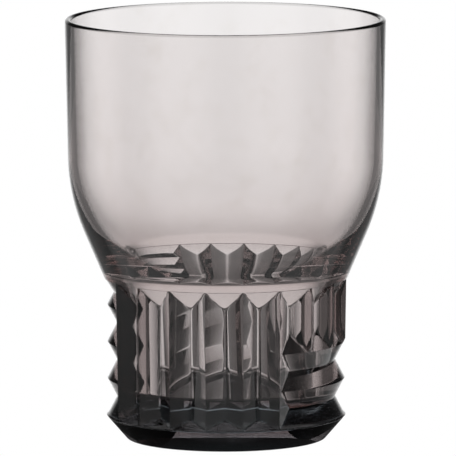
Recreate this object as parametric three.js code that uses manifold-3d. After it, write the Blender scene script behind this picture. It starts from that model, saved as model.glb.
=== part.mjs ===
// A clear tinted whiskey tumbler, in millimetres, standing on its foot with +Z up.
//
// A smooth, slightly tapering bowl narrows through a shoulder to a well. The well is jacketed by a
// sleeve with triangular ribs, upright in two quarters and level in the two between them, and a
// chamfered foot closes the bottom. The origin is the centre of the underside.

import * as THREE from 'three';
import { mergeVertices } from 'three/addons/utils/BufferGeometryUtils.js';
import Module from 'manifold-3d';

const wasm = await Module();
wasm.setup();

// ---- Driving dimensions -------------------------------------------------------------------

const HEIGHT = 110;                 // foot to lip

// Outside of the bowl
const RIM_RADIUS = 41.8;
const WALL_TAPER_DEG = 1.07;        // lean of the upper wall
const SHOULDER_HEIGHT = 42.5;       // lower edge of the shoulder
const BELLY_RISE = 21.2;            // from that edge to where the wall's line meets the shoulder's
const BELLY_BLEND = 52;             // radius of the arc that joins the two

// Inside of the bowl
const LIP_WALL = 1.7;
const BELLY_WALL = 2.6;
const INNER_BELLY_DROP = 5.1;       // the inner bend sits this much below the outer one
const INNER_BELLY_BLEND = 40.5;
const THROAT_RISE = 3;              // the well's mouth is this far above the shoulder's edge
const THROAT_BLEND = 4.6;
const WELL_RADIUS = 26.1;
const WELL_DRAFT = 0.5;             // how much narrower the well is at its floor
const WELL_FILLET = 1.2;
const FLOOR_HEIGHT = 13;
const FLOOR_WALL = 1.4;             // bowl's own floor, above the foot

// Outside of the lower bowl, under the sleeve
const LINER_WALL = 1.1;
const NECK_STEP = 1.8;              // the cone under the shoulder that seats in the sleeve
const NECK_LENGTH = 4.5;

// Ribs
const RIBS_PER_QUARTER = 5;
const QUARTERS = 4;
const RIB_DEPTH = 2.8;              // upright crest above its groove, at the foot
const SLEEVE_WALL = 0.9;            // bore to groove
const RIB_DRAFT = 0.6;              // how much further out the upright crests are at the top
const BAND_SETBACK = 0.3;           // how far level crests stand inside the upright ones
const BAND_PITCH = 9.7;             // level crest to crest
const SHORT_BANDS = 2;              // level crests above the foot in the quarter that has both
const PATTERN_TURN_DEG = -63.8;     // first upright crest, from the front towards +X
const TOP_FLANK_LENGTH = 5.2;       // slope from the shoulder down to a groove
const FOOT_FLANK_LENGTH = 2.4;      // slope from the foot's edge up to a groove

// Foot
const FOOT_EDGE_HEIGHT = 6.1;
const FOOT_CHAMFER = 5.3;           // how far the foot draws in from its edge to its base
const FOOT_BASE_ROUND = 0.8;

const CLEARANCE = 0.3;              // bond line between two pieces
const LIP_ROUND = 0.8;
const EDGE_ROUND = 0.3;

// ---- Sizes that follow ----------------------------------------------------------------------

const RIB_COUNT = RIBS_PER_QUARTER * QUARTERS;
const RIB_STEP = 2 * Math.PI / RIB_COUNT;
const QUARTER = 2 * Math.PI / QUARTERS;
const PATTERN_TURN = THREE.MathUtils.degToRad(PATTERN_TURN_DEG);

const LINER_RADIUS = WELL_RADIUS + LINER_WALL;
const BORE_RADIUS = LINER_RADIUS + CLEARANCE;
const GROOVE_RADIUS = BORE_RADIUS + SLEEVE_WALL;
const CREST_LOW = GROOVE_RADIUS + RIB_DEPTH;
const CREST_HIGH = CREST_LOW + RIB_DRAFT;
const BAND_CREST = CREST_LOW - BAND_SETBACK;

const BELLY_HEIGHT = SHOULDER_HEIGHT + BELLY_RISE;
const BELLY_RADIUS = RIM_RADIUS - (HEIGHT - BELLY_HEIGHT) * Math.tan(THREE.MathUtils.degToRad(WALL_TAPER_DEG));
const THROAT_HEIGHT = SHOULDER_HEIGHT + THROAT_RISE;
const NECK_RADIUS = LINER_RADIUS + NECK_STEP;
const NECK_LOW = SHOULDER_HEIGHT - NECK_LENGTH;
const SLEEVE_LOW = FOOT_EDGE_HEIGHT + CLEARANCE;
const SLEEVE_HIGH = SHOULDER_HEIGHT - CLEARANCE;
const LINER_LOW = FLOOR_HEIGHT - FLOOR_WALL;
const SPIGOT_HIGH = LINER_LOW - CLEARANCE;

const TURN_STEPS = RIB_COUNT * 4;   // facets round the pieces that are turned
const ARC_SAGITTA = 0.03;           // how far a facet of an arc may cut inside it
const OVERRUN = 1.06;               // how far a rib's flank runs on below its groove
const CORE = 0.35;                  // depth of rib that is buried in the sleeve's wall

// ---- Outlines and solids --------------------------------------------------------------------

// Rounds the corner at b, between a and c, and returns the arc's points.
function roundCorner(a, b, c, radius) {
  const back = a.clone().sub(b).normalize();
  const on = c.clone().sub(b).normalize();
  const half = Math.acos(THREE.MathUtils.clamp(back.dot(on), -1, 1)) / 2;
  const reach = radius / Math.tan(half);
  const centre = back.clone().add(on).normalize().multiplyScalar(radius / Math.sin(half)).add(b);
  const start = back.clone().multiplyScalar(reach).add(b).sub(centre);
  const sweep = Math.PI - 2 * half;
  const side = Math.sign(start.cross(on));
  const stride = 2 * Math.acos(1 - ARC_SAGITTA / radius);
  const steps = Math.max(2, Math.ceil(sweep / stride));
  return Array.from({ length: steps + 1 }, (_, i) =>
    start.clone().rotateAround(new THREE.Vector2(), side * sweep * i / steps).add(centre));
}

// Turns corners given as [radius, height, rounding] into the points of an outline.
function outline(corners) {
  const points = corners.map(([r, z]) => new THREE.Vector2(r, z));
  return corners.flatMap(([, , rounding = 0], i) =>
    rounding > 0 ? roundCorner(points[i - 1], points[i], points[i + 1], rounding) : [points[i]]);
}

// An outline turned about the Z axis, with its facets in step with the ribs.
function turned(points) {
  const geometry = new THREE.LatheGeometry(points, TURN_STEPS);
  geometry.rotateX(Math.PI / 2);
  return geometry;
}

// The point at an angle from the front towards +X, at a radius and height.
function around(angle, radius, z) {
  return new THREE.Vector3(radius * Math.sin(angle), -radius * Math.cos(angle), z);
}

function toSolid(geometry) {
  const bare = geometry.clone();
  bare.deleteAttribute('normal');
  bare.deleteAttribute('uv');
  const welded = mergeVertices(bare);
  return new wasm.Manifold(new wasm.Mesh({
    numProp: 3,
    vertProperties: new Float32Array(welded.attributes.position.array),
    triVerts: new Uint32Array(welded.index.array),
  }));
}

function toGeometry(solid) {
  const mesh = solid.getMesh();
  const geometry = new THREE.BufferGeometry();
  geometry.setAttribute('position', new THREE.BufferAttribute(mesh.vertProperties, 3));
  geometry.setIndex(new THREE.BufferAttribute(mesh.triVerts, 1));
  geometry.computeVertexNormals();
  return geometry;
}

// A closed solid between two rings of points that correspond one to one.
function loft(low, high) {
  const count = low.length;
  const sides = low.flatMap((_, i) => {
    const next = (i + 1) % count;
    return [i, next, count + next, i, count + next, count + i];
  });
  const caps = Array.from({ length: count - 2 }, (_, i) =>
    [0, i + 2, i + 1, count, count + i + 1, count + i + 2]).flat();
  const geometry = new THREE.BufferGeometry().setFromPoints([...low, ...high]);
  geometry.setIndex([...sides, ...caps]);
  return geometry;
}

// ---- Ribs -----------------------------------------------------------------------------------

// The point that lies past a groove, on the straight flank that falls from a crest to it.
function pastGroove(crest, groove) {
  return crest.clone().lerp(groove, OVERRUN);
}

// One level slice of an upright rib: crest, two flanks, and a root inside the sleeve's wall.
function ribSlice(angle, crestRadius, z) {
  const crest = around(angle, crestRadius, z);
  const flank = side => pastGroove(crest, around(angle + side * RIB_STEP / 2, GROOVE_RADIUS, z));
  const root = side => around(angle + side * RIB_STEP / 2, GROOVE_RADIUS - CORE, z);
  return [root(-1), flank(-1), crest, flank(1), root(1)];
}

function crestRadiusAt(z) {
  const share = (z - FOOT_EDGE_HEIGHT) / (SHOULDER_HEIGHT - FOOT_EDGE_HEIGHT);
  return CREST_LOW + (CREST_HIGH - CREST_LOW) * share;
}

function uprightRib(angle, low, high) {
  return toSolid(loft(ribSlice(angle, crestRadiusAt(low), low), ribSlice(angle, crestRadiusAt(high), high)));
}

// A ring of triangular section, whose flanks fall from its crest to the groove above and below.
function ring(crestRadius, z, fallBelow, fallAbove) {
  const crest = new THREE.Vector2(crestRadius, z);
  const inside = GROOVE_RADIUS - CORE;
  const low = pastGroove(crest, new THREE.Vector2(GROOVE_RADIUS, z - fallBelow));
  const high = pastGroove(crest, new THREE.Vector2(GROOVE_RADIUS, z + fallAbove));
  const root = y => new THREE.Vector2(inside, y);
  const start = root(low.y);
  return toSolid(turned([start, low, crest, high, root(high.y), start.clone()]));
}

// The part of space between two angles, as a wedge from the axis.
function wedge(from, to) {
  const reach = 2 * CREST_HIGH;
  const middle = (from + to) / 2;
  const slice = z => [new THREE.Vector3(0, 0, z), ...[from, middle, to].map(a => around(a, reach, z))];
  return toSolid(loft(slice(-HEIGHT), slice(2 * HEIGHT)));
}

// The slope under a level crest, carried on outwards, trims the upright ribs that end on it.
function belowBand(crestZ) {
  const fall = BAND_PITCH / 2 / (BAND_CREST - GROOVE_RADIUS);
  const edge = r => new THREE.Vector2(r, crestZ + (r - BAND_CREST) * fall);
  const outer = 2 * CREST_HIGH;
  const inner = GROOVE_RADIUS - 2 * CORE;
  const start = new THREE.Vector2(inner, -HEIGHT);
  return toSolid(turned([start, new THREE.Vector2(outer, -HEIGHT), edge(outer), edge(inner), start.clone()]));
}

function bandHeights() {
  const count = Math.floor((SHOULDER_HEIGHT - FOOT_EDGE_HEIGHT) / BAND_PITCH - 0.25);
  return Array.from({ length: count + 1 }, (_, i) => FOOT_EDGE_HEIGHT + i * BAND_PITCH);
}

function levelBands(quarter, heights) {
  const from = PATTERN_TURN + quarter * QUARTER;
  const sector = wedge(from, from + QUARTER);
  return heights.map(z => ring(BAND_CREST, z, BAND_PITCH / 2, BAND_PITCH / 2).intersect(sector));
}

// ---- Pieces ---------------------------------------------------------------------------------

// The drinking cup: lip, wall, shoulder and the well with its floor.
function makeBowl() {
  return turned(outline([
    [0, LINER_LOW],
    [LINER_RADIUS, LINER_LOW, FOOT_BASE_ROUND],
    [LINER_RADIUS, NECK_LOW],
    [NECK_RADIUS, SHOULDER_HEIGHT],
    [CREST_HIGH, SHOULDER_HEIGHT, EDGE_ROUND],
    [BELLY_RADIUS, BELLY_HEIGHT, BELLY_BLEND],
    [RIM_RADIUS, HEIGHT, LIP_ROUND],
    [RIM_RADIUS - LIP_WALL, HEIGHT, LIP_ROUND],
    [BELLY_RADIUS - BELLY_WALL, BELLY_HEIGHT - INNER_BELLY_DROP, INNER_BELLY_BLEND],
    [WELL_RADIUS, THROAT_HEIGHT, THROAT_BLEND],
    [WELL_RADIUS - WELL_DRAFT, FLOOR_HEIGHT, WELL_FILLET],
    [0, FLOOR_HEIGHT],
  ]));
}

// The jacket round the well: ribs upright in front and behind, level on the sides.
function makeRibbedSleeve() {
  const crestAngle = i => PATTERN_TURN + i * RIB_STEP;
  const [front, right, back] = [0, 1, 2].map(q => q * RIBS_PER_QUARTER);
  const low = FOOT_EDGE_HEIGHT - CORE;
  const high = SHOULDER_HEIGHT + CORE;
  const full = [];
  for (const start of [front, back]) {
    for (let i = start; i <= start + RIBS_PER_QUARTER; i++) full.push(uprightRib(crestAngle(i), low, high));
  }
  const heights = bandHeights();
  const shortRibsFrom = heights[SHORT_BANDS];
  const trim = belowBand(shortRibsFrom);
  const short = [];
  for (let i = right + 1; i < back; i++) {
    short.push(uprightRib(crestAngle(i), shortRibsFrom - CORE, high).subtract(trim));
  }
  const wall = toSolid(turned([[BORE_RADIUS, low], [GROOVE_RADIUS, low], [GROOVE_RADIUS, high],
    [BORE_RADIUS, high], [BORE_RADIUS, low]].map(([r, z]) => new THREE.Vector2(r, z))));
  const slopes = [ring(CREST_HIGH, SHOULDER_HEIGHT, TOP_FLANK_LENGTH, TOP_FLANK_LENGTH),
    ring(CREST_LOW, FOOT_EDGE_HEIGHT, FOOT_FLANK_LENGTH, FOOT_FLANK_LENGTH)];
  const bands = [...levelBands(1, heights.slice(0, SHORT_BANDS + 1)), ...levelBands(3, heights)];
  const room = toSolid(turned(outline([
    [BORE_RADIUS, SLEEVE_LOW],
    [2 * CREST_HIGH, SLEEVE_LOW],
    [2 * CREST_HIGH, SLEEVE_HIGH],
    [NECK_RADIUS + CLEARANCE, SLEEVE_HIGH],
    [BORE_RADIUS, NECK_LOW - CLEARANCE],
    [BORE_RADIUS, SLEEVE_LOW],
  ])));
  const relief = [wall, ...slopes, ...bands, ...full, ...short].reduce((sum, next) => sum.add(next));
  return toGeometry(relief.intersect(room));
}

// The disc that the tumbler stands on, with a spigot that centres the sleeve.
function makeFoot() {
  return turned(outline([
    [0, 0],
    [CREST_LOW - FOOT_CHAMFER, 0, FOOT_BASE_ROUND],
    [CREST_LOW, FOOT_EDGE_HEIGHT, EDGE_ROUND],
    [LINER_RADIUS, FOOT_EDGE_HEIGHT],
    [LINER_RADIUS, SPIGOT_HIGH],
    [0, SPIGOT_HIGH],
  ]));
}

const smokedPlastic = color => new THREE.MeshStandardMaterial({
  color, roughness: 0.06, metalness: 0, transparent: true, opacity: 0.55,
});

const pieces = [
  ['bowl', makeBowl(), 0xc9bdbb],
  ['ribbed_sleeve', makeRibbedSleeve(), 0x8d807e],
  ['foot', makeFoot(), 0x4c4546],
];

const tumbler = new THREE.Group();
for (const [name, geometry, color] of pieces) {
  const mesh = new THREE.Mesh(geometry, smokedPlastic(color));
  mesh.name = name;
  tumbler.add(mesh);
}

export default tumbler;
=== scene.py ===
# %% [markdown]
# # A smoke-tinted whiskey tumbler
#
# The object is a drinking tumbler moulded in clear, slightly smoky plastic: a smooth bowl that
# narrows through a shoulder to a well, a sleeve of triangular ribs round the well, and a chamfered
# foot. Nothing on it is opaque, so almost everything seen in it is light that has been bent. The
# look therefore rests on three things that this file makes in turn: true walls inside and out,
# crisp ribs, and a body colour that deepens with the distance that light travels in the plastic.

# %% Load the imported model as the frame
import math

import bmesh
import bpy
from mathutils import Matrix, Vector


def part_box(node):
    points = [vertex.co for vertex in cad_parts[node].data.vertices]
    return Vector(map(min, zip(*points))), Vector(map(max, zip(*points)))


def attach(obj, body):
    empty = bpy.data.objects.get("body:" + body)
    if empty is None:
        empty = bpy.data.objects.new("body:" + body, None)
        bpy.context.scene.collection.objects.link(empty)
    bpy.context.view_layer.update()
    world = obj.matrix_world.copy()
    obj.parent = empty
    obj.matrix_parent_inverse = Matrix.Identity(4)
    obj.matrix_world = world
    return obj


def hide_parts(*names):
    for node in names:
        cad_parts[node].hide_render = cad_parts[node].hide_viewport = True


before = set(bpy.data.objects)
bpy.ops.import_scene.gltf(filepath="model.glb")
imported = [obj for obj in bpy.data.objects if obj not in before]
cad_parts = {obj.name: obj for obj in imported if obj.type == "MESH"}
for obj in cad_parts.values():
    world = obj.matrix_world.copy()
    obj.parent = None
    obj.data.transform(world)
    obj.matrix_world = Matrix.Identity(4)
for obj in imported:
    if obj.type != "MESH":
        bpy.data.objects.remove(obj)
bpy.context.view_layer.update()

MM = 0.001

# %% [markdown]
# ## Sizes
#
# The heights where the three pieces meet, the lip and the well's floor are read from the frame's
# boxes. A box can't show the inside of a cup, so the walls, blends and ribs are named here, in
# millimetres. In the real object the pieces are bonded. Here each bond is a gap far thinner than
# anything that can be seen, and the faces on both sides of it are marked as bonded.

# %% Heights from the frame
bowl_low, bowl_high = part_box("bowl")
sleeve_low, sleeve_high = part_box("ribbed_sleeve")

CLEARANCE = 0.3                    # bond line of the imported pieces
SEAM = 0.02                        # bond line here
HEIGHT = bowl_high.z / MM
RIM_RADIUS = bowl_high.x / MM
SHOULDER_HEIGHT = sleeve_high.z / MM + CLEARANCE
FOOT_EDGE_HEIGHT = sleeve_low.z / MM - CLEARANCE
LINER_LOW = bowl_low.z / MM
print("lip", round(HEIGHT, 2), "shoulder", round(SHOULDER_HEIGHT, 2))
print("foot edge", round(FOOT_EDGE_HEIGHT, 2))

# %% Walls, blends and ribs
WALL_TAPER = math.radians(1.07)
BELLY_RISE = 21.2                  # shoulder edge to where the wall's line meets the shoulder's
BELLY_BLEND = 52
LIP_WALL = 1.7
LIP_ROUND = 0.8
BELLY_WALL = 2.6
INNER_BELLY_DROP = 5.1
INNER_BELLY_BLEND = 40.5
THROAT_RISE = 3
THROAT_BLEND = 4.6
WELL_RADIUS = 26.1
WELL_DRAFT = 0.5
WELL_FILLET = 1.2
FLOOR_WALL = 1.4
LINER_WALL = 1.1
NECK_STEP = 1.8
NECK_LENGTH = 4.5

RIB_COUNT = 20
SLEEVE_WALL = 0.9                  # bore to groove
RIB_DEPTH = 2.8
RIB_DRAFT = 0.6                    # how much further out the upright crests are at the top
BAND_SETBACK = 0.3                 # how far level crests stand inside the upright ones
BAND_PITCH = 9.7
PATTERN_TURN = math.radians(-63.8)
TOP_FLANK_LENGTH = 5.2
FOOT_FLANK_LENGTH = 2.4
FOOT_CHAMFER = 5.3
FOOT_BASE_ROUND = 0.8
EDGE_ROUND = 0.3
UNDER_EDGE_ROUND = 0.15
OPEN_RIM = 0.8                     # the bonds stop this far short of their outer edge

LINER_RADIUS = WELL_RADIUS + LINER_WALL
GROOVE_RADIUS = LINER_RADIUS + CLEARANCE + SLEEVE_WALL
CREST_LOW = GROOVE_RADIUS + RIB_DEPTH
CREST_HIGH = CREST_LOW + RIB_DRAFT
BAND_CREST = CREST_LOW - BAND_SETBACK
FLOOR_HEIGHT = LINER_LOW + FLOOR_WALL
BELLY_HEIGHT = SHOULDER_HEIGHT + BELLY_RISE
BELLY_RADIUS = RIM_RADIUS - (HEIGHT - BELLY_HEIGHT) * math.tan(WALL_TAPER)
SEAT_HEIGHT = SHOULDER_HEIGHT - CLEARANCE      # the bowl's underside, where it sits on the sleeve
NECK_LOW = SHOULDER_HEIGHT - NECK_LENGTH
print("wall meets shoulder at", round(BELLY_RADIUS, 2), "mm out,", round(BELLY_HEIGHT, 2), "mm up")

# %% [markdown]
# ## Turning an outline
#
# The bowl and the foot are round, so they are drawn as half sections and turned, as a lathe or a
# mould maker's reamer would. A Screw modifier would do that too, but turning in code lets every
# band of faces carry a mark, and the mark tells the plastic which faces are glued to a neighbour.
# All the pieces are turned in the same steps, so that light crosses a bond between two faces that
# lie exactly parallel. The first step is on a rib's crest, and the steps divide a rib evenly.

# %% Corners of an outline become arcs
STEPS_PER_RIB = 30
COLUMNS = RIB_COUNT * STEPS_PER_RIB
ARC_SAGITTA = 0.002                # how far a facet of an arc may cut inside it


def round_corner(before, corner, after, radius):
    """Points of the arc that rounds a corner. Points are complex numbers: radius + height * 1j."""
    back = (before - corner) / abs(before - corner)
    onward = (after - corner) / abs(after - corner)
    cosine = (back * onward.conjugate()).real
    half = math.acos(max(-1, min(1, cosine))) / 2
    centre = corner + (back + onward) / abs(back + onward) * radius / math.sin(half)
    start = corner + back * radius / math.tan(half) - centre
    side = 1 if (back.conjugate() * onward).imag < 0 else -1
    sweep = math.pi - 2 * half
    steps = max(3, math.ceil(sweep / (2 * math.acos(1 - ARC_SAGITTA / radius))))
    turns = [side * sweep * i / steps for i in range(steps + 1)]
    return [centre + start * complex(math.cos(t), math.sin(t)) for t in turns]


def outline(corners):
    """Corners given as (radius, height) or (radius, height, rounding) become an outline's points."""
    places = [complex(*corner[:2]) for corner in corners]
    points = []
    for i, corner in enumerate(corners):
        if len(corner) == 3:
            after = places[(i + 1) % len(places)]
            points += round_corner(places[i - 1], places[i], after, corner[2])
        else:
            points.append(places[i])
    return [(p.real, p.imag) for p in points]


# %% An outline becomes a turned mesh
def new_object(name, mesh):
    """Puts a mesh in the scene at the origin."""
    made = bpy.data.objects.new(name, mesh)
    bpy.context.scene.collection.objects.link(made)
    return made


def ring_points(radius, height):
    """The places of one ring of points, or the single point on the axis."""
    if radius == 0:
        return [(0, 0, height * MM)]
    angles = [PATTERN_TURN + 2 * math.pi * i / COLUMNS for i in range(COLUMNS)]
    out = radius * MM
    return [(out * math.sin(a), -out * math.cos(a), height * MM) for a in angles]


def turned_mesh(name, points, bonded, closed=False):
    """Turns an outline. bonded says of each stretch, from its two ends, whether it is glued."""
    bm = bmesh.new()
    glue = bm.faces.layers.float.new("bonded")
    rings = [[bm.verts.new(p) for p in ring_points(r, z)] for r, z in points]
    stretches = list(zip(points, points[1:], rings, rings[1:]))
    if closed:
        stretches.append((points[-1], points[0], rings[-1], rings[0]))
    for start, end, low, high in stretches:
        glued = float(bonded(start, end))
        for i in range(COLUMNS):
            j = (i + 1) % COLUMNS
            corners = [low[i % len(low)], low[j % len(low)], high[j % len(high)], high[i % len(high)]]
            face = bm.faces.new(dict.fromkeys(corners))
            face.smooth = True
            face[glue] = glued
    bmesh.ops.recalc_face_normals(bm, faces=bm.faces)
    if bm.calc_volume(signed=True) < 0:
        bmesh.ops.reverse_faces(bm, faces=bm.faces)
    mesh = bpy.data.meshes.new(name)
    bm.to_mesh(mesh)
    bm.free()
    return mesh


# %% [markdown]
# ## The bowl
#
# Outside, a nearly straight wall runs down into one long arc and stops at the shoulder's sharp
# lower edge. Inside, the arc keeps curving inwards, so the wall thickens towards the shoulder, and
# it meets the well at a softly rounded throat. That rounding is small, but it acts as a lens for the
# ribs that are seen through it.

# %% Turn the bowl
bowl_outline = outline([
    (0, LINER_LOW),
    (LINER_RADIUS, LINER_LOW),
    (LINER_RADIUS, NECK_LOW),
    (LINER_RADIUS + NECK_STEP, SEAT_HEIGHT + SEAM),
    (CREST_HIGH - OPEN_RIM, SEAT_HEIGHT + SEAM),
    (CREST_HIGH, SEAT_HEIGHT + SEAM, UNDER_EDGE_ROUND),
    (BELLY_RADIUS, BELLY_HEIGHT, BELLY_BLEND),
    (RIM_RADIUS, HEIGHT, LIP_ROUND),
    (RIM_RADIUS - LIP_WALL, HEIGHT, LIP_ROUND),
    (BELLY_RADIUS - BELLY_WALL, BELLY_HEIGHT - INNER_BELLY_DROP, INNER_BELLY_BLEND),
    (WELL_RADIUS, SHOULDER_HEIGHT + THROAT_RISE, THROAT_BLEND),
    (WELL_RADIUS - WELL_DRAFT, FLOOR_HEIGHT, WELL_FILLET),
    (0, FLOOR_HEIGHT),
])


def bowl_bonded(start, end):
    """The liner, its bottom and the underside of the shoulder are glued."""
    above_bottom = min(start[1], end[1]) > LINER_LOW + SEAM
    inside_well = max(start[0], end[0]) <= WELL_RADIUS + SEAM and above_bottom
    below_seat = max(start[1], end[1]) <= SEAT_HEIGHT + 1.5 * SEAM
    short_of_edge = max(start[0], end[0]) <= CREST_HIGH - OPEN_RIM
    return below_seat and short_of_edge and not inside_well


bowl = new_object("tumbler_bowl", turned_mesh("tumbler_bowl", bowl_outline, bowl_bonded))
print("bowl:", len(bowl_outline), "rings,", len(bowl.data.polygons), "faces")

# %% [markdown]
# ## The foot
#
# The foot is a thick disc with a wide chamfer underneath and a low spigot on top that fills the
# sleeve's bore, up to the bowl's floor. It is solid, as in a heavy tumbler, so light that enters it
# has a long way to go. It could be an extruded disc with a Bevel, but turning it from an outline
# keeps its steps in line with the other pieces.

# %% Turn the foot
foot_outline = outline([
    (0, 0),
    (CREST_LOW - FOOT_CHAMFER, 0, FOOT_BASE_ROUND),
    (CREST_LOW, FOOT_EDGE_HEIGHT, EDGE_ROUND),
    (CREST_LOW - OPEN_RIM, FOOT_EDGE_HEIGHT),
    (LINER_RADIUS, FOOT_EDGE_HEIGHT),
    (LINER_RADIUS, LINER_LOW - SEAM),
    (0, LINER_LOW - SEAM),
])


def foot_bonded(start, end):
    """The top is glued, apart from a narrow rim round its edge."""
    on_top = min(start[1], end[1]) >= FOOT_EDGE_HEIGHT - SEAM / 2
    return on_top and max(start[0], end[0]) <= CREST_LOW - OPEN_RIM


foot = new_object("tumbler_foot", turned_mesh("tumbler_foot", foot_outline, foot_bonded))
print("foot:", len(foot_outline), "rings,", len(foot.data.polygons), "faces")

# %% [markdown]
# ## Wires: arithmetic with nodes
#
# Both the ribs and the finishes are formulas made of nodes. Written out node by node, a formula
# can't be read, so one small class wraps a socket and lets Python's own operators add the Math
# nodes. Any other node comes from one helper, which takes its type, its settings and its sockets.

# %% A socket that can be added, multiplied and compared
class Wire:
    """A node's output that works in arithmetic with other wires and with numbers."""

    def __init__(self, tree, socket):
        self.tree = tree
        self.socket = socket

    def math(self, operation, *others):
        values = dict(enumerate([self, *others]))
        return add_node(self.tree, "ShaderNodeMath", {"operation": operation}, values)

    def __add__(self, other):
        return self.math("ADD", other)

    def __sub__(self, other):
        return self.math("SUBTRACT", other)

    def __rsub__(self, other):
        return (self * -1) + other

    def __mul__(self, other):
        return self.math("MULTIPLY", other)

    def __truediv__(self, other):
        return self.math("DIVIDE", other)

    def __mod__(self, other):
        return self.math("FLOORED_MODULO", other)

    def __lt__(self, other):
        return self.math("LESS_THAN", other)

    def __gt__(self, other):
        return self.math("GREATER_THAN", other)

    def __abs__(self):
        return self.math("ABSOLUTE")

    __radd__ = __add__
    __rmul__ = __mul__


def add_node(tree, kind, settings=None, values=None, output=0):
    """Adds a node, sets it up, gives its sockets numbers or wires, and returns one output."""
    made = tree.nodes.new(kind)
    for name, setting in (settings or {}).items():
        setattr(made, name, setting)
    for name, value in (values or {}).items():
        if isinstance(value, Wire):
            tree.links.new(value.socket, made.inputs[name])
        else:
            made.inputs[name].default_value = value
    return Wire(tree, made.outputs[output]) if made.outputs else made


def smooth_step(value, start, end):
    """A wire that goes softly from 0 at start to 1 at end. start may be the larger."""
    settings = {"interpolation_type": "SMOOTHSTEP"}
    low, high = min(start, end), max(start, end)
    ends = {"To Min": 0.0, "To Max": 1.0} if start < end else {"To Min": 1.0, "To Max": 0.0}
    values = {"Value": value, "From Min": low, "From Max": high, **ends}
    return add_node(value.tree, "ShaderNodeMapRange", settings, values, "Result")


# %% [markdown]
# ## The ribbed sleeve
#
# Two facing quarters of the sleeve have upright ribs. The quarter on the left has level ones, and
# the quarter on the right has both: upright ribs above, two level ones below. Every rib is a
# triangle in section. A pressed pattern like this is one rule, the distance from the axis for each
# angle and height, so a plain tube is turned and Geometry Nodes move its outer points to where the
# rule says. Cutting each rib with a Boolean would also work, but it leaves slivers where ribs meet,
# and clear plastic shows every sliver.

# %% A plain tube for the ribs to be pressed from
ROWS_PER_BAND = 30
TUBE_LOW = FOOT_EDGE_HEIGHT + SEAM
row_step = BAND_PITCH / ROWS_PER_BAND
row_count = math.floor((SEAT_HEIGHT - FOOT_EDGE_HEIGHT) / row_step)
row_heights = [FOOT_EDGE_HEIGHT + row_step * i for i in range(1, row_count + 1)]
skin_outline = [(GROOVE_RADIUS, z) for z in [TUBE_LOW, *row_heights, SEAT_HEIGHT]]
bore_outline = [
    (CREST_HIGH - OPEN_RIM, SEAT_HEIGHT),
    (LINER_RADIUS + NECK_STEP + SEAM, SEAT_HEIGHT),
    (LINER_RADIUS + SEAM, NECK_LOW - SEAM),
    (LINER_RADIUS + SEAM, TUBE_LOW),
    (CREST_LOW - OPEN_RIM, TUBE_LOW),
]


def tube_bonded(start, end):
    """All but the outer skin and the two narrow rims beside it is glued."""
    return start[0] != GROOVE_RADIUS and end[0] != GROOVE_RADIUS


tube_mesh = turned_mesh("ribbed_tube", skin_outline + bore_outline, tube_bonded, closed=True)
skin = tube_mesh.attributes.new("skin", "FLOAT", "POINT")
skin_points = len(skin_outline) * COLUMNS
skin.data.foreach_set("value", [float(i < skin_points) for i in range(len(tube_mesh.vertices))])
tube = new_object("ribbed_tube", tube_mesh)
print("tube:", len(skin_outline), "rows of", COLUMNS, "points on its skin")

# %% The sizes that the ribs are pressed to
CREASE_SOFTNESS = 0.3
RIB_SIZES = {
    "Rib Count": RIB_COUNT,
    "Pattern Turn": PATTERN_TURN,
    "Groove Radius": GROOVE_RADIUS,
    "Crest Radius Low": CREST_LOW,
    "Crest Radius High": CREST_HIGH,
    "Band Crest Radius": BAND_CREST,
    "Band Pitch": BAND_PITCH,
    "Foot Edge Height": FOOT_EDGE_HEIGHT,
    "Shoulder Height": SHOULDER_HEIGHT,
    "Top Flank Length": TOP_FLANK_LENGTH,
    "Foot Flank Length": FOOT_FLANK_LENGTH,
    "Crease Softness": CREASE_SOFTNESS,
}
ROUNDING = 0.001                   # a row of points on a boundary counts as past it
SHORT_BANDS = 2                    # level crests above the foot in the quarter that has both
TALL_BANDS = 3


def open_tree(name):
    """A Geometry Nodes tree with the named sizes, a geometry and a material as its inputs."""
    tree = bpy.data.node_groups.new(name, "GeometryNodeTree")
    tree.interface.new_socket("Geometry", in_out="INPUT", socket_type="NodeSocketGeometry")
    for size in RIB_SIZES:
        tree.interface.new_socket(size, in_out="INPUT", socket_type="NodeSocketFloat")
    tree.interface.new_socket("Plastic", in_out="INPUT", socket_type="NodeSocketMaterial")
    tree.interface.new_socket("Geometry", in_out="OUTPUT", socket_type="NodeSocketGeometry")
    entry = tree.nodes.new("NodeGroupInput")
    return tree, {socket.name: Wire(tree, socket) for socket in entry.outputs if socket.name}


tree, given = open_tree("press_ribs")
print("rib tree inputs:", ", ".join(RIB_SIZES))

# %% Where a point is: its angle, height and place in the pattern
place = add_node(tree, "GeometryNodeInputPosition")
x = add_node(tree, "ShaderNodeSeparateXYZ", None, {"Vector": place}, "X")
y = add_node(tree, "ShaderNodeSeparateXYZ", None, {"Vector": place}, "Y")
z = add_node(tree, "ShaderNodeSeparateXYZ", None, {"Vector": place}, "Z") / MM
distance = (x * x + y * y).math("SQRT") / MM
angle = x.math("ARCTAN2", y * -1)

groove = given["Groove Radius"]
crest_low = given["Crest Radius Low"]
crest_high = given["Crest Radius High"]
band_crest = given["Band Crest Radius"]
pitch = given["Band Pitch"]
above_foot = z - given["Foot Edge Height"]
below_shoulder = given["Shoulder Height"] - z
rib_count = given["Rib Count"]
rib_step = rib_count.math("POWER", -1) * (2 * math.pi)
rib_place = (angle - given["Pattern Turn"]) / rib_step
nearest_rib = rib_place.math("ROUND")
off_crest = abs(rib_place - nearest_rib) * rib_step
rib_number = (nearest_rib % rib_count) % (rib_count / 2)
quarter = ((angle - given["Pattern Turn"]) / (math.pi / 2)) % 4

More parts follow.
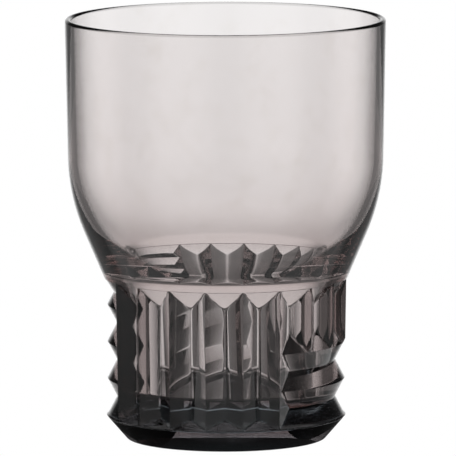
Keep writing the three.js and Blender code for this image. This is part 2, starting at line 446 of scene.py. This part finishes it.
# %% Upright ribs: flat flanks between a crest and the grooves beside it
half_step = rib_step / 2
rise = above_foot / (above_foot + below_shoulder)
crest = crest_low + (crest_high - crest_low) * rise
crest_share = (half_step - off_crest).math("SINE") / crest
groove_share = off_crest.math("SINE") / groove
upright = half_step.math("SINE") / (crest_share + groove_share)

ribs_in_full = rib_count / 4 + 0.5
full_ribs = rib_number < ribs_in_full
mixed_quarter = (1 - full_ribs) * ((nearest_rib % rib_count) < rib_count / 2)
over_bands = above_foot - SHORT_BANDS * pitch
trim = band_crest + over_bands * (band_crest - groove) / (pitch / 2)
trimmed = upright.math("MINIMUM", trim)
over_mask = over_bands > -ROUNDING
upright_ribs = groove + full_ribs * (upright - groove) + mixed_quarter * over_mask * (trimmed - groove)

# %% Level ribs, and the slopes under the shoulder and above the foot's edge
band_place = above_foot / pitch
off_band = abs(band_place - band_place.math("ROUND")) * 2
level = band_crest + (groove - band_crest) * off_band
under_tall = above_foot < (TALL_BANDS + 0.5) * pitch
under_short = above_foot < (SHORT_BANDS + 0.5) * pitch
level_quarter = quarter > 3
both_quarter = (quarter > 1) * (quarter < 2)
level_mask = (level_quarter + both_quarter * under_short) * under_tall
level_ribs = groove + level_mask * (level - groove)
top_flank = crest_high + (groove - crest_high) * below_shoulder / given["Top Flank Length"]
foot_flank = crest_low + (groove - crest_low) * above_foot / given["Foot Flank Length"]

# %% The outermost of them all, with slightly softened creases
softness = given["Crease Softness"]
surface = upright_ribs.math("SMOOTH_MAX", level_ribs, softness)
surface = surface.math("SMOOTH_MAX", top_flank, softness)
surface = surface.math("SMOOTH_MAX", foot_flank, softness)
surface = surface.math("MAXIMUM", groove)
stretch = surface / distance
moved = add_node(tree, "ShaderNodeCombineXYZ", None, {"X": x * stretch, "Y": y * stretch, "Z": z * MM})
named = {"data_type": "FLOAT"}
on_skin = add_node(tree, "GeometryNodeInputNamedAttribute", named, {"Name": "skin"}, "Attribute") > 0.5
shape = {"Geometry": given["Geometry"], "Selection": on_skin, "Position": moved}
pressed = add_node(tree, "GeometryNodeSetPosition", None, shape, "Geometry")
real = add_node(tree, "GeometryNodeRealizeInstances", None, {"Geometry": pressed}, "Geometry")
dressed = {"Geometry": real, "Material": given["Plastic"]}
finished = add_node(tree, "GeometryNodeSetMaterial", None, dressed, "Geometry")
add_node(tree, "NodeGroupOutput", None, {"Geometry": finished})
print("rib tree:", len(tree.nodes), "nodes")

# %% [markdown]
# ## Smoky plastic
#
# A tint painted on the surface would be as strong in a thin wall as in a thick one. Here the
# surface is colourless and the inside absorbs light, so a thin wall is paler than a thick one. How
# strongly each piece absorbs was tuned. The moulded skin is never quite flat: a slow
# waviness from cooling bends what is seen through it, faint smudges dull it, and the foot is
# scuffed where it stands. Faces marked as bonded let light straight through, as a good bond does.

# %% One recipe for the three pieces
PLASTIC_IOR = 1.49
WHITE = (1.0, 1.0, 1.0, 1.0)
ABSORPTION_SCALE = 400             # per metre. A colour channel of 0 would absorb all of this
HANDLED = (0.965, 0.96, 0.95, 1.0)
SMUDGE_RANGE = (0.5, 0.75)         # noise levels where smudges start and are full
SCRATCH_RANGE = (0.45, 0.7)
CLEAN_ROUGHNESS = 0.012
SMUDGE_ROUGHNESS = 0.035
SCUFF_ROUGHNESS = 0.25
SCUFF_DEPTH = 0.004
SCUFF_TOP = 1.0
MIX_FACTOR, MIX_FIRST, MIX_SECOND, MIX_RESULT = 0, 6, 7, 2     # a Mix node's colour sockets


def smoked_plastic(name, absorbed, waviness):
    """Clear plastic that absorbs light, given per metre for red, green and blue."""
    material = bpy.data.materials.new(name)
    material.use_nodes = True
    tree = material.node_tree
    tree.nodes.clear()
    where = add_node(tree, "ShaderNodeTexCoord", None, None, "Object")
    height = add_node(tree, "ShaderNodeSeparateXYZ", None, {"Vector": where}, "Z") / MM
    glued = add_node(tree, "ShaderNodeAttribute", {"attribute_name": "bonded"}, None, "Fac")

    cooling = {"Vector": where, "Scale": 55.0, "Detail": 1.0, "Roughness": 0.4}
    swell = add_node(tree, "ShaderNodeTexNoise", None, cooling, "Fac")
    touched = {"Vector": where, "Scale": 130.0, "Detail": 4.0, "Roughness": 0.6}
    smudge = smooth_step(add_node(tree, "ShaderNodeTexNoise", None, touched, "Fac"), *SMUDGE_RANGE)
    rubbed = {"Vector": where, "Scale": 900.0, "Detail": 3.0, "Roughness": 0.7}
    scratch = smooth_step(add_node(tree, "ShaderNodeTexNoise", None, rubbed, "Fac"), *SCRATCH_RANGE)
    scuffed = smooth_step(height, SCUFF_TOP, 0.0) * scratch
    roughness = CLEAN_ROUGHNESS + smudge * SMUDGE_ROUGHNESS + scuffed * SCUFF_ROUGHNESS

    relief = swell * waviness + scuffed * SCUFF_DEPTH
    bump = {"Strength": 1.0, "Distance": MM, "Height": relief}
    normal = add_node(tree, "ShaderNodeBump", None, bump, "Normal")
    mix = {MIX_FACTOR: smudge, MIX_FIRST: WHITE, MIX_SECOND: HANDLED}
    colour = add_node(tree, "ShaderNodeMix", {"data_type": "RGBA"}, mix, MIX_RESULT)

    skin_values = {
        "Base Color": colour,
        "Roughness": roughness,
        "Alpha": 1 - glued,
        "Normal": normal,
        "IOR": PLASTIC_IOR,
        "Transmission Weight": 1.0,
    }
    surface = add_node(tree, "ShaderNodeBsdfPrincipled", None, skin_values, "BSDF")
    passed = tuple(1 - share / ABSORPTION_SCALE for share in absorbed)
    inside = {"Color": (*passed, 1.0), "Density": float(ABSORPTION_SCALE)}
    body = add_node(tree, "ShaderNodeVolumeAbsorption", None, inside, "Volume")
    add_node(tree, "ShaderNodeOutputMaterial", None, {"Surface": surface, "Volume": body})
    return material


# %% Three plastics: the sleeve absorbs most strongly and the foot least
bowl_plastic = smoked_plastic("smoked_bowl_plastic", (54, 68, 70), 0.010)
sleeve_plastic = smoked_plastic("smoked_sleeve_plastic", (104, 118, 119), 0.006)
foot_plastic = smoked_plastic("smoked_foot_plastic", (28, 25, 23), 0.004)
print("plastics:", bowl_plastic.name, sleeve_plastic.name, foot_plastic.name)

# %% Press the ribs
press = tube.modifiers.new("press_ribs", "NODES")
press.node_group = tree
for item in tree.interface.items_tree:
    if item.in_out == "INPUT" and item.name in RIB_SIZES:
        press[item.identifier] = float(RIB_SIZES[item.name])
    if item.in_out == "INPUT" and item.name == "Plastic":
        press[item.identifier] = sleeve_plastic

graph = bpy.context.evaluated_depsgraph_get()
pressed_mesh = bpy.data.meshes.new_from_object(tube.evaluated_get(graph), depsgraph=graph)
pressed_mesh.name = "tumbler_ribs"
tube.modifiers.remove(press)
bpy.data.objects.remove(tube)
ribs = new_object("tumbler_ribs", pressed_mesh)
ribs_wide = max(v.co.xy.length for v in pressed_mesh.vertices) / MM
print("ribs:", len(pressed_mesh.polygons), "faces, widest at", round(ribs_wide, 2), "mm")

# %% [markdown]
# ## Sharp edges and the frame
#
# Smooth shading makes round walls look round, but it must stop at a rib's crest and at every
# corner, so edges where the surface turns by more than a few degrees are marked sharp. Then each
# piece is tied to the frame: it rides on the one body, stands for its imported node, which is
# hidden, and is given its own smoked plastic.

# %% Finish the three pieces
CREASE_ANGLE = math.radians(14)
PARTS = (
    (bowl, "bowl", "bowl_plastic", bowl_plastic),
    (ribs, "ribbed_sleeve", "sleeve_plastic", sleeve_plastic),
    (foot, "foot", "foot_plastic", foot_plastic),
)
for piece, node_name, slot_name, plastic in PARTS:
    piece.data.set_sharp_from_angle(angle=CREASE_ANGLE)
    if not piece.data.materials:
        piece.data.materials.append(plastic)
    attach(piece, "root")
    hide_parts(node_name)
    print(piece.name, "stands for", node_name)

# %% [markdown]
# ## Camera
#
# A long lens from a little above the lip keeps the wall's sides straight, as in a catalogue
# picture. The camera looks at the tumbler's middle from seven and a half degrees up.

# %% Place the camera
CAMERA_LENS = 680
CAMERA_DISTANCE = 2.246
CAMERA_RISE = math.radians(7.5)
CAMERA_ROLL = math.radians(-0.12)
AIM_SIDE = 0.57 * MM
AIM_HEIGHT = HEIGHT * MM / 2

camera_data = bpy.data.cameras.new("camera")
camera_data.lens = CAMERA_LENS
camera = bpy.data.objects.new("camera", camera_data)
camera_back = CAMERA_DISTANCE * math.cos(CAMERA_RISE)
camera_up = AIM_HEIGHT + CAMERA_DISTANCE * math.sin(CAMERA_RISE)
looking = Matrix.Rotation(math.pi / 2 - CAMERA_RISE, 4, "X") @ Matrix.Rotation(CAMERA_ROLL, 4, "Z")
camera.matrix_world = Matrix.Translation((AIM_SIDE, -camera_back, camera_up)) @ looking
bpy.context.scene.collection.objects.link(camera)
bpy.context.scene.camera = camera
print("camera at", [round(c, 3) for c in camera.matrix_world.translation])

# %% [markdown]
# ## Studio
#
# Clear things are lit from behind. Five soft white cards stand round the table, and between and
# above them the studio is dim, so the walls and the ribs draw themselves in dark lines. The cards
# in front are dimmer and wider. A glowing disc under the foot, dark next to it and brighter outwards,
# is painted shade: it stands for the table's shadow round the foot, and it is what makes the foot
# look so deep. The camera itself sees neither the cards nor the disc, only a plain white room and
# table.

# %% The white cards and the dim room
CARD_COUNT = 5
CARD_HALF_WIDTH = math.radians(17)
CARD_SOFT_EDGE = math.radians(12)
FRONT_WIDER = 0.6
CARD_TOP = math.radians(10)
CARD_TOP_SOFT = math.radians(7)
HORIZON_SOFT = math.radians(3)
TABLE_START = math.radians(-18)
TABLE_SOFT = math.radians(6)
TABLE_GLOW = 0.8
BETWEEN_GLOW = 0.2
FRONT_GLOW = 0.55
NEAR_TABLE_START = math.radians(-30)
NEAR_TABLE_END = math.radians(-45)
ROOM_GLOW = 0.035
CEILING_START = math.radians(32)
CEILING_END = math.radians(50)
CEILING_GLOW = 0.6

world = bpy.data.worlds.new("studio")
world.use_nodes = True
bpy.context.scene.world = world
sky = world.node_tree
sky.nodes.clear()
toward = add_node(sky, "ShaderNodeTexCoord", None, None, "Generated")
east = add_node(sky, "ShaderNodeSeparateXYZ", None, {"Vector": toward}, "X")
north = add_node(sky, "ShaderNodeSeparateXYZ", None, {"Vector": toward}, "Y")
upward = add_node(sky, "ShaderNodeSeparateXYZ", None, {"Vector": toward}, "Z")
card_turn = 2 * math.pi / CARD_COUNT
bearing = abs((east.math("ARCTAN2", north) + card_turn / 2) % card_turn - card_turn / 2)
lift = upward.math("ARCSINE")
behind = (north + 1) / 2
off_card = bearing / (1 + (1 - behind) * FRONT_WIDER)
across = smooth_step(off_card, CARD_HALF_WIDTH + CARD_SOFT_EDGE, CARD_HALF_WIDTH - CARD_SOFT_EDGE)
under_top = smooth_step(lift, CARD_TOP + CARD_TOP_SOFT, CARD_TOP - CARD_TOP_SOFT)
on_table = smooth_step(lift, TABLE_START + TABLE_SOFT, TABLE_START - TABLE_SOFT)
below = smooth_step(lift, HORIZON_SOFT, -HORIZON_SOFT)
overhead = smooth_step(lift, CEILING_START, CEILING_END)
near_table = smooth_step(lift, NEAR_TABLE_START, NEAR_TABLE_END)
fade = FRONT_GLOW + behind * (1 - FRONT_GLOW)
card = across * under_top * fade * (1 - on_table * (1 - TABLE_GLOW))
glow = card.math("MAXIMUM", ROOM_GLOW)
glow = glow.math("MAXIMUM", below * BETWEEN_GLOW)
glow = glow.math("MAXIMUM", overhead * CEILING_GLOW)
glow = glow.math("MAXIMUM", near_table * TABLE_GLOW)
seen = add_node(sky, "ShaderNodeLightPath", None, None, "Is Camera Ray")
light = glow * (1 - seen) + seen
shown = {"Color": WHITE, "Strength": light}
shine = add_node(sky, "ShaderNodeBackground", None, shown, "Background")
add_node(sky, "ShaderNodeOutputWorld", None, {"Surface": shine})
print("studio:", len(sky.nodes), "nodes")


# %% The table, and the disc of painted shade under the foot
TABLE_RADIUS = 1.5
# The disc under the foot is painted shade: it glows at SHADE_GLOW next to the foot and at TABLE_GLOW
# at its edge.
SHADE_RADIUS = 0.065
SHADE_START = 0.030
SHADE_GLOW = 0.02
DISC_STEPS = 128
TABLE_DROP = 0.4 * MM
SHADE_DROP = 0.3 * MM


def disc(name, radius, drop):
    """A flat disc just under the foot."""
    bm = bmesh.new()
    bmesh.ops.create_circle(bm, cap_ends=True, segments=DISC_STEPS, radius=radius)
    mesh = bpy.data.meshes.new(name)
    bm.to_mesh(mesh)
    bm.free()
    mesh.transform(Matrix.Translation((0, 0, -drop)))
    return new_object(name, mesh)


def glowing_material(name, centre, edge):
    """A glowing surface whose strength goes from centre, near the foot, to edge, at the shade's outer
    radius. Under the foot this is painted shade.
    """
    material = bpy.data.materials.new(name)
    material.use_nodes = True
    tree = material.node_tree
    tree.nodes.clear()
    where = add_node(tree, "ShaderNodeTexCoord", None, None, "Object")
    away = add_node(tree, "ShaderNodeVectorMath", {"operation": "LENGTH"}, {0: where}, "Value")
    glow_with_painted_shade = centre + smooth_step(away, SHADE_START, SHADE_RADIUS) * (edge - centre)
    values = {"Color": WHITE, "Strength": glow_with_painted_shade}
    surface = add_node(tree, "ShaderNodeEmission", None, values, "Emission")
    add_node(tree, "ShaderNodeOutputMaterial", None, {"Surface": surface})
    return material


table = disc("table", TABLE_RADIUS, TABLE_DROP)
table.data.materials.append(glowing_material("pale_table", 1.0, 1.0))
table.visible_transmission = False
table.visible_glossy = False
table.visible_diffuse = False
# Painted shade: a glowing disc, dark by the foot, that the plastic shows in place of the table's
# shadow.
shade = disc("painted_shade_round_foot", SHADE_RADIUS, SHADE_DROP)
shade.data.materials.append(glowing_material("painted_table_shade", SHADE_GLOW, TABLE_GLOW))
shade.visible_camera = False
print("table:", 2 * TABLE_RADIUS, "m across")

# %% [markdown]
# ## Light paths
#
# A ray can be turned many times inside the ribs before it leaves. If it is given up too soon, it
# counts as black, and the ribs fill with specks, so the limits are generous.

# %% Let the light travel
scene = bpy.context.scene
scene.view_settings.view_transform = "Standard"
scene.cycles.max_bounces = 48
scene.cycles.transmission_bounces = 48
scene.cycles.glossy_bounces = 24
scene.cycles.diffuse_bounces = 2
scene.cycles.transparent_max_bounces = 96
scene.cycles.caustics_refractive = True
scene.cycles.caustics_reflective = True
print("bounces:", scene.cycles.max_bounces)
